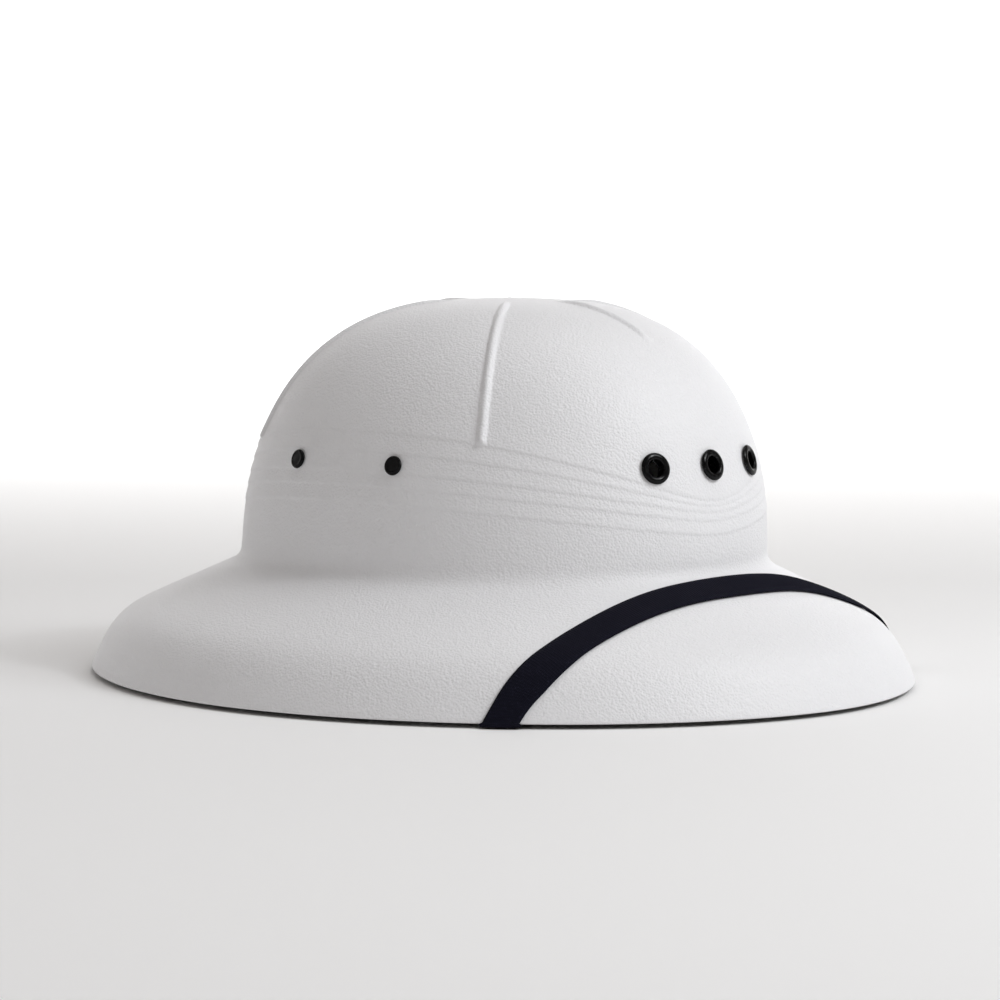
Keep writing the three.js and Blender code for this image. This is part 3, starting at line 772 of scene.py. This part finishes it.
class PITH_OT_eyelets(bpy.types.Operator):
    """Make the three rolled eyelets on the front"""
    bl_idname = "mesh.pith_helmet_eyelets"
    bl_label = "Front Eyelets"

    def execute(self, context):
        sizes = context.scene.pith_fasteners
        shell = context.scene.pith_shell
        lip = sizes.eyelet_diameter / 2
        section = [(r * lip, EYELET_SEAT + z * sizes.eyelet_roll) for r, z in EYELET_ROLL_SECTION]
        # Down the bore, round the flange inside the shell and back up through the wall
        bore = section[-1][0]
        wall = shell.wall
        back = sizes.eyelet_back / 2
        inside = -wall - EYELET_FLANGE_GAP
        section += [(bore, -wall), (bore * 1.04, inside - 0.5 * MM), (bore * 1.12, inside - 0.75 * MM),
                    (bore * 1.25, inside - 0.85 * MM), (back * 0.93, inside - 0.8 * MM),
                    (back, inside - 0.5 * MM), (back * 0.98, inside - 0.1 * MM), (back * 0.93, inside),
                    (lip * 0.64, inside), (lip * 0.62, inside + 0.1 * MM),
                    (lip * 0.62, EYELET_SEAT * 0.5), section[0]]
        piece = set_fasteners("front_eyelets", ShellForm(shell), eyelet_turns(sizes),
                              sizes.eyelet_height, section, black_enamel(sizes.enamel_colour[:]))
        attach(piece, "root")
        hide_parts("front_eyelet_right", "front_eyelet_centre", "front_eyelet_left")
        return {"FINISHED"}


class PITH_OT_rivets(bpy.types.Operator):
    """Make the four rivets on the sides"""
    bl_idname = "mesh.pith_helmet_rivets"
    bl_label = "Side Rivets"

    def execute(self, context):
        scene = context.scene
        sizes, shell, strap = scene.pith_fasteners, scene.pith_shell, scene.pith_strap
        cap = sizes.rivet_diameter / 2
        head = sizes.rivet_head / 2
        grip = shell.wall + strap.lift + strap.thickness + RIVET_HEAD_GAP
        below = [(0, -grip - 1.0 * MM), (head * 0.7, -grip - 1.0 * MM), (head * 0.94, -grip - 0.85 * MM),
                 (head, -grip - 0.5 * MM), (head * 0.97, -grip - 0.1 * MM), (head * 0.9, -grip),
                 (RIVET_SHANK, -grip), (RIVET_SHANK, 0)]
        above = [(r * cap, RIVET_SEAT + z * sizes.rivet_cap) for r, z in RIVET_CAP_SECTION]
        section = below + above + [(0, above[-1][1] + 0.02 * MM)]
        piece = set_fasteners("side_rivets", ShellForm(shell), rivet_turns(sizes),
                              sizes.rivet_height, section, black_enamel(sizes.enamel_colour[:]))
        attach(piece, "root")
        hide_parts("side_rivet_front_right", "side_rivet_rear_right", "side_rivet_front_left",
                    "side_rivet_rear_left")
        return {"FINISHED"}


class StrapPath:
    """The strap's way over the shell, as sections of points across it with the direction away from
    the shell."""

    def __init__(self, form, strap, fasteners):
        self.form, self.strap, self.fasteners = form, strap, fasteners
        self.half = strap.width / 2
        self.across = np.linspace(-1, 1, 9)
        self.rim_turn = math.degrees(strap.rim_turn)
        self.corner_turn = math.degrees(strap.corner_turn)

    def inside(self):
        """Down the inside of the crown, from the end past the rivet to the corner at the foot."""
        form = self.form
        low = form.sizes.fillet
        high = self.fasteners.rivet_height
        sweep = math.degrees(self.fasteners.rivet_front) - self.corner_turn
        bend = 1.6

        def route(share):
            return self.corner_turn + sweep * share ** bend, low + (high - low) * share

        def contact(turn, height):
            return form.off_crown(turn, height, -form.sizes.wall), -form.crown_normal(turn, height)

        # The last tenth of the way is measured, to run on past the rivet by the tail's length
        ends = [contact(*route(share))[0] for share in (0.9, 1.0)]
        last = 1 + self.strap.tail / (np.linalg.norm(ends[1] - ends[0]) * 10)
        sections = []
        for share in np.linspace(last, 0, 40):
            turn, height = route(share)
            radius = np.linalg.norm(form.foot(turn))
            slope = bend * max(share, 0) ** (bend - 1) * math.radians(sweep) * radius
            slant = math.atan2(slope, high - low)
            shift = self.across * self.half
            turns = turn - np.degrees(shift * math.cos(slant) / radius)
            sections.append(contact(turns, height + shift * math.sin(slant)))
        return sections

    def corner(self):
        """Round the corner under the crown's foot."""
        form = self.form
        radius = np.linalg.norm(form.foot(self.corner_turn))
        turns = self.corner_turn - np.degrees(self.across * self.half / radius)
        sections = []
        for share in (0.03, 0.08, 0.15, 0.24, 0.34, 0.45):
            out = np.full_like(turns, share * form.sizes.fillet)
            sections.append((form.off_brim(turns, out, -form.sizes.wall), -form.brim_normal(turns, out)))
        return sections

    def rim(self, corner):
        """Straight to the rim, under its edge and round its corners to the outside."""
        form, sizes = self.form, self.form.sizes
        radius = np.linalg.norm(form.rim(self.rim_turn))
        turns = self.rim_turn - np.degrees(self.across * self.half / radius)
        outward = form.rim_outward(turns)
        outer = np.concatenate([form.rim(turns), np.full_like(turns, sizes.rim_height)[:, None]], -1)
        inner = outer - outward * sizes.rim_edge
        up = np.array([0.0, 0.0, 1.0])
        along = np.cross(up, outward)
        arrival = unit(np.cross(along, unit(inner - corner[0])))
        sections = [(inner, unit(arrival * (1 - share) - up * share))
                    for share in np.linspace(0, 1, 6)]
        skirt = form.brim_normal(turns, form.run(turns) - 0.1 * MM)
        full = math.pi / 2 + np.arcsin(skirt[:, 2:])
        for share in np.linspace(0, 1, 8):
            sections.append((outer, outward * np.sin(full * share) - up * np.cos(full * share)))
        return sections

    def on_brim(self, x, y):
        """Points of the brim under points seen from above, with the normals there."""
        form = self.form
        target = np.stack([x, y], -1)
        middle = np.degrees(np.arctan2(x, -y))
        low, high = middle - 25, middle + 25
        for _ in range(40):
            turn = (low + high) / 2
            foot, rim = form.foot(turn), form.rim(turn)
            way, reach = rim - foot, target - foot
            ahead = way[..., 0] * reach[..., 1] - way[..., 1] * reach[..., 0] > 0
            low, high = np.where(ahead, turn, low), np.where(ahead, high, turn)
        foot = form.foot(low)
        out = np.sum((target - foot) * unit(form.rim(low) - foot), -1)
        return form.brim(low, out), form.brim_normal(low, out)

    def plan(self):
        """The strap's middle line seen from above, from the rim to the front, with its points a
        little closer together near the rim."""
        form, strap = self.form, self.strap
        rim = form.rim(self.rim_turn)
        slope = form.fall(form.sizes.fillet, form.run(0)) / form.sizes.fillet
        front = form.foot(0)[1] - strap.foot_gap - self.half * math.cos(math.atan(slope))
        points = np.array([(rim[0] * out, rim[1] + (front - rim[1]) * forward)
                           for out, forward in STRAP_ROUTE])
        mirrored = points[1:][::-1] * (-1, 1)
        whole = np.concatenate([mirrored, points])
        gaps = np.sqrt(np.linalg.norm(np.diff(whole, axis=0), axis=1))
        knots = np.concatenate([[0], np.cumsum(gaps)])
        line = [catmull(whole, knots, k, np.linspace(0, 1, 80, endpoint=False))
                for k in range(len(mirrored), len(whole) - 1)]
        line = np.concatenate(line + [whole[-1:]])[::-1]
        travel = travelled(line)
        spaced = travel[-1] * np.linspace(0, 1, 150) ** 1.15
        return np.stack([np.interp(spaced, travel, line[:, k]) for k in (0, 1)], -1)[1:]

    def top(self):
        """Over the brim's top, from the rim to the middle of the front."""
        form, plan = self.form, self.plan()
        middle, away = self.on_brim(plan[:, 0], plan[:, 1])
        along = np.gradient(middle, axis=0)
        across = unit(np.cross(away, along))
        # Its width lies along the rim at first and turns square to its way, and the middle section
        # lies exactly fore and aft
        travel = travelled(np.vstack([form.rim(self.rim_turn), plan]))[1:]
        square = smoothstep(travel, 0, self.strap.turn_in)[:, None]
        rim_forward = np.cross(form.rim_outward(self.rim_turn), (0, 0, 1))
        across = rim_forward * (1 - square) + across * square
        across[-1] = (0, -1, 0)
        across = unit(across - away * np.sum(across * away, -1, keepdims=True))
        edges = [point + side * (self.across * self.half)[:, None]
                 for point, side in zip(middle, across)]
        return [self.on_brim(edge[:, 0], edge[:, 1]) for edge in edges]

    def sections(self):
        """All sections, from one end of the strap to the other."""
        corner = self.corner()
        half = self.inside() + corner + self.rim(corner[-1]) + self.top()
        points = np.array([section[0] for section in half])
        away = np.array([section[1] for section in half])
        flip = np.array([-1, 1, 1])
        return (np.concatenate([points, points[:-1][::-1] * flip]),
                np.concatenate([away, away[:-1][::-1] * flip]))


def catmull(points, knots, k, shares):
    """Points of a centripetal Catmull-Rom curve between point k and the next."""
    after = min(k + 2, len(points) - 1)
    p0, p1, p2, p3 = points[k - 1], points[k], points[k + 1], points[after]
    t0, t1, t2 = knots[k - 1], knots[k], knots[k + 1]
    t3 = knots[after] if after > k + 1 else 2 * t2 - t1
    p3 = p3 if after > k + 1 else 2 * p2 - p1
    t = (t1 + (t2 - t1) * shares)[:, None]

    def between(first, last, low, high):
        return (high - t) / (high - low) * first + (t - low) / (high - low) * last

    second = between(p1, p2, t1, t2)
    low_curve = between(between(p0, p1, t0, t1), second, t0, t2)
    high_curve = between(second, between(p2, p3, t2, t3), t1, t3)
    return between(low_curve, high_curve, t1, t2)


class PITH_OT_strap(bpy.types.Operator):
    """Make the chin strap with its woven cross ribs"""
    bl_idname = "mesh.pith_helmet_strap"
    bl_label = "Chin Strap"

    def execute(self, context):
        scene = context.scene
        strap = scene.pith_strap
        path = StrapPath(ShellForm(scene.pith_shell), strap, scene.pith_fasteners)
        points, away = path.sections()
        centre = points + away * (strap.lift + strap.thickness / 2)
        travel = travelled(centre[:, len(path.across) // 2])
        # Four rows to each cross rib
        ribs = round(travel[-1] / strap.rib_pitch)
        places = np.linspace(0, travel[-1], ribs * 4 + 1)

        def spaced(values):
            flat = values.reshape(len(values), -1)
            columns = [np.interp(places, travel, flat[:, k]) for k in range(flat.shape[1])]
            return np.stack(columns, -1).reshape(len(places), *values.shape[1:])

        centre, away = spaced(centre), unit(spaced(away))
        phase = 2 * math.pi * places / travel[-1] * ribs
        rib = strap.rib_depth / 2 * np.cos(phase)[:, None] * (1 - path.across ** 8)
        edge = 0.5 + 0.5 * np.sqrt(1 - path.across ** 6)
        lift = (strap.thickness / 2 - strap.rib_depth / 2) * edge + rib
        near = centre - away * lift[..., None]
        far = centre + away * lift[..., None]
        rows = list(np.concatenate([near, far[:, ::-1]], 1))
        mesh = rows_mesh("strap_webbing", rows, (rows[0].mean(0), rows[-1].mean(0)))
        count = len(rows[0])
        around = np.concatenate([path.across, path.across[::-1]]) * path.half
        yarn = mesh.uv_layers.new(name="yarn")
        corners = np.empty(len(mesh.loops), int)
        mesh.loops.foreach_get("vertex_index", corners)
        row, k = np.divmod(np.minimum(corners, len(rows) * count - 1), count)
        yarn.uv.foreach_set("vector", np.stack([around[k], places[row]], -1).ravel())
        piece = add_object("strap_webbing", mesh, (elastic_webbing(strap.webbing_colour[:]),))
        print("strap length mm", round(travel[-1] / MM, 1))
        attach(piece, "root")
        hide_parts("chin_strap")
        return {"FINISHED"}


class PITH_OT_stage(bpy.types.Operator):
    """Set the floor, the soft light and the camera"""
    bl_idname = "scene.pith_helmet_stage"
    bl_label = "Stage"

    def execute(self, context):
        scene = context.scene
        sizes = scene.pith_stage
        add_object("backdrop", self.backdrop_mesh(), (self.backdrop_paper(sizes),))
        target = Vector((0, 0, sizes.target_height))
        for lamp in LAMPS:
            self.add_lamp(target, sizes.azimuth, *lamp)
        paper = Vector((0, 0, BACKDROP_HEIGHT)) - self.direction(sizes.azimuth, 0) * BACKDROP_BEYOND
        self.add_lamp(paper, sizes.azimuth, *BACKDROP_LAMP)
        world = bpy.data.worlds.new("studio")
        world.use_nodes = True
        background = world.node_tree.nodes["Background"]
        background.inputs["Color"].default_value = ROOM_COLOUR
        background.inputs["Strength"].default_value = ROOM_STRENGTH
        scene.world = world
        scene.view_settings.view_transform = "Standard"
        camera_data = bpy.data.cameras.new("camera")
        camera_data.lens = sizes.lens
        camera_data.sensor_width = 36
        camera = bpy.data.objects.new("camera", camera_data)
        scene.collection.objects.link(camera)
        camera.location = target + self.direction(sizes.azimuth, sizes.elevation) * sizes.distance
        camera.rotation_euler = (target - camera.location).to_track_quat("-Z", "Y").to_euler()
        scene.camera = camera
        return {"FINISHED"}

    @staticmethod
    def backdrop_mesh():
        """A round sheet that lies flat under the hat and curves up into a low wall all round."""
        profile = [(SHEET_FLAT + SHEET_BEND * math.sin(angle), SHEET_BEND * (1 - math.cos(angle)))
                   for angle in np.linspace(0, math.pi / 2, 17)]
        profile.append((SHEET_FLAT + SHEET_BEND, SHEET_TOP))
        points = np.concatenate([np.zeros((1, 3))] + turned_rows(profile, SHEET_SIDES))
        k = np.arange(SHEET_SIDES)
        after = (k + 1) % SHEET_SIDES
        faces = np.stack([0 * k, 1 + k, 1 + after], -1).tolist()
        for low in range(1, len(points) - SHEET_SIDES, SHEET_SIDES):
            up = low + SHEET_SIDES
            faces += np.stack([low + k, up + k, up + after, low + after], -1).tolist()
        return smooth_mesh("backdrop", points, faces)

    @staticmethod
    def backdrop_paper(sizes):
        """White studio paper, calendered: even and matt, with no sheen."""
        material, tree = new_material("white studio paper")
        shader = add_node(tree, "ShaderNodeBsdfPrincipled", {"Base Color": sizes.floor_colour[:],
                          "Roughness": 0.9, "Specular IOR Level": 0.1})
        return finish_material(material, shader)

    @staticmethod
    def direction(azimuth, elevation):
        """From the hat towards an azimuth from its front and an elevation, in radians."""
        return Vector((math.sin(azimuth) * math.cos(elevation),
                       -math.cos(azimuth) * math.cos(elevation), math.sin(elevation)))

    def add_lamp(self, target, azimuth, name, turn, elevation, distance, size, power, tint):
        """A round lamp turned to a target, at a turn from the camera's azimuth."""
        data = bpy.data.lights.new(name, "AREA")
        data.shape = "DISK"
        data.size = size
        data.energy = power
        data.color = tint
        lamp = bpy.data.objects.new(name, data)
        bpy.context.scene.collection.objects.link(lamp)
        way = self.direction(azimuth + math.radians(turn), math.radians(elevation))
        lamp.location = target + way * distance
        lamp.rotation_euler = (target - lamp.location).to_track_quat("-Z", "Y").to_euler()


class PITH_PT_panel(bpy.types.Panel):
    """The helmet's pieces and sizes"""
    bl_idname = "PITH_PT_panel"
    bl_label = "Pith Helmet"
    bl_space_type = "VIEW_3D"
    bl_region_type = "UI"
    bl_category = "Pith Helmet"

    def draw(self, context):
        for group, operators in ((context.scene.pith_shell, (PITH_OT_shell,)),
                                 (context.scene.pith_fasteners, (PITH_OT_eyelets, PITH_OT_rivets)),
                                 (context.scene.pith_strap, (PITH_OT_strap,)),
                                 (context.scene.pith_stage, (PITH_OT_stage,))):
            box = self.layout.box()
            for name in group.__annotations__:
                box.prop(group, name)
            for operator in operators:
                box.operator(operator.bl_idname)


GROUPS = (("pith_shell", ShellSizes), ("pith_fasteners", FastenerSizes), ("pith_strap", StrapSizes),
          ("pith_stage", StageSizes))
CLASSES = (PITH_OT_shell, PITH_OT_eyelets, PITH_OT_rivets, PITH_OT_strap, PITH_OT_stage,
           PITH_PT_panel)


def register():
    for name, group in GROUPS:
        bpy.utils.register_class(group)
        setattr(bpy.types.Scene, name, bpy.props.PointerProperty(type=group))
    for entry in CLASSES:
        bpy.utils.register_class(entry)


def unregister():
    for entry in reversed(CLASSES):
        bpy.utils.unregister_class(entry)
    for name, group in reversed(GROUPS):
        delattr(bpy.types.Scene, name)
        bpy.utils.unregister_class(group)


def main():
    register()
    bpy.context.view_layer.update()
    bpy.ops.mesh.pith_helmet_shell()
    bpy.ops.mesh.pith_helmet_eyelets()
    bpy.ops.mesh.pith_helmet_rivets()
    bpy.ops.mesh.pith_helmet_strap()
    bpy.ops.scene.pith_helmet_stage()


if __name__ == "__main__":
    main()
